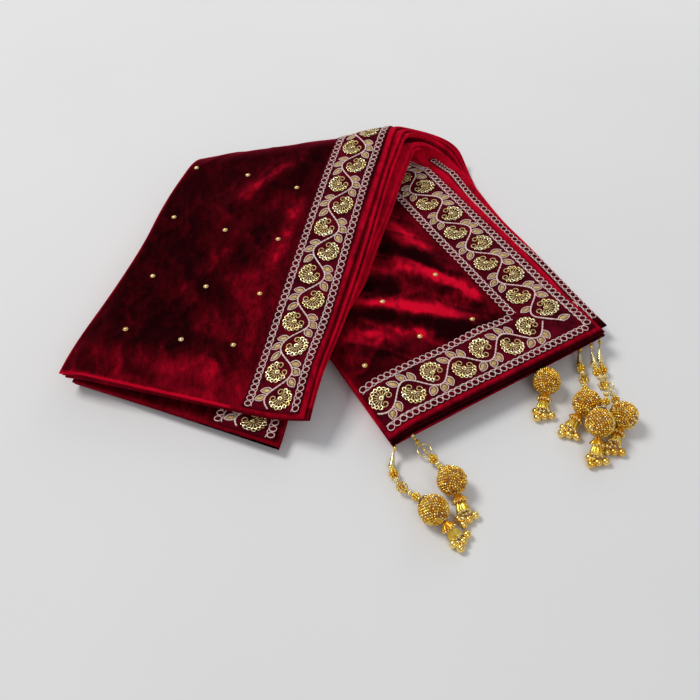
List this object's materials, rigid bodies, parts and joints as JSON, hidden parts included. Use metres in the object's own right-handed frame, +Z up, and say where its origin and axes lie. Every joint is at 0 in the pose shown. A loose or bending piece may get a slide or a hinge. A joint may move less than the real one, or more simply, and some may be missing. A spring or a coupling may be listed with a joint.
{
  "type": "velvet shawl",
  "caption": "Folded velvet shawl with embroidered borders, laid once over itself in a V, with beaded tassels at its corners.",
  "frame": {"origin": "middle of the shawl's box in plan, on the surface that it lies on", "axes": "+Z up from the surface; +X to the right and +Y away from the viewer, as the picture shows the shawl"},
  "size_m": [0.508, 0.49, 0.0771],
  "materials": {
    "velvet": "deep maroon velvet with a crimson sheen along its folds",
    "velvet_edge": "maroon velvet, brighter red where the folded edges turn",
    "embroidery": "dark velvet with pale pink and gold thread, sequins and satin leaves",
    "gold_beads": "antique gold beads, polished on their crowns"
  },
  "bodies": {
    "root": {"velvet_inner_leaf": "velvet", "velvet_core": "velvet_edge", "velvet_outer_leaf": "velvet", "border_left_arm": "embroidery", "border_left_under": "embroidery", "border_right_side": "embroidery", "border_right_end": "embroidery", "border_right_under": "embroidery", "latkan_1_strand": "gold_beads", "latkan_1_ball": "gold_beads", "latkan_1_bell": "gold_beads", "latkan_2_strand": "gold_beads", "latkan_2_ball": "gold_beads", "latkan_2_bell": "gold_beads", "latkan_3_strand": "gold_beads", "latkan_3_ball": "gold_beads", "latkan_3_bell": "gold_beads", "latkan_4_strand": "gold_beads", "latkan_4_ball": "gold_beads", "latkan_4_bell": "gold_beads", "latkan_5_strand": "gold_beads", "latkan_5_ball": "gold_beads", "latkan_5_bell": "gold_beads", "latkan_6_strand": "gold_beads", "latkan_6_ball": "gold_beads", "latkan_6_bell": "gold_beads"}
  },
  "joints": []
}
